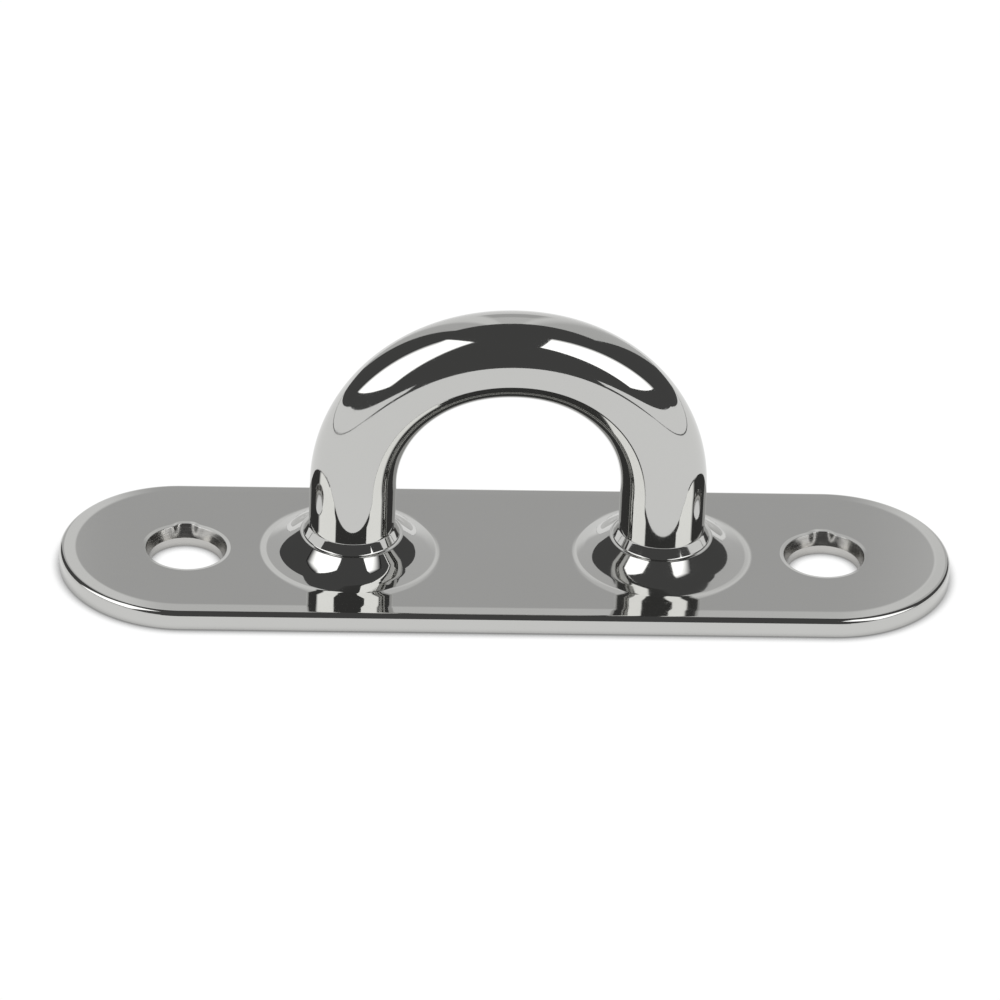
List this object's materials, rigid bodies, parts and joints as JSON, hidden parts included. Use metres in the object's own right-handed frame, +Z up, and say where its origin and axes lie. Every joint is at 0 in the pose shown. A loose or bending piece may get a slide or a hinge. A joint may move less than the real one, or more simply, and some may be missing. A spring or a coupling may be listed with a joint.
{
  "type": "pad eye",
  "caption": "Polished steel pad eye: a bent round bar welded into raised collars on an oblong base plate with full-round ends and a countersunk screw hole near each end.",
  "frame": {"origin": "centre of the plate's underside, which rests on the deck", "axes": "+X along the plate from screw hole to screw hole, +Y across the plate and through the eye, +Z up out of the deck"},
  "size_m": [0.062, 0.017, 0.0204],
  "materials": {
    "polished_plate": "mirror-polished stainless steel sheet, not plated",
    "polished_rod": "mirror-polished stainless steel round bar, not plated",
    "weld_bead": "stainless steel weld bead, cleaned and left satin"
  },
  "bodies": {
    "root": {"base_plate": "polished_plate", "eye_bow": "polished_rod", "weld_left": "weld_bead", "weld_right": "weld_bead"}
  },
  "joints": []
}
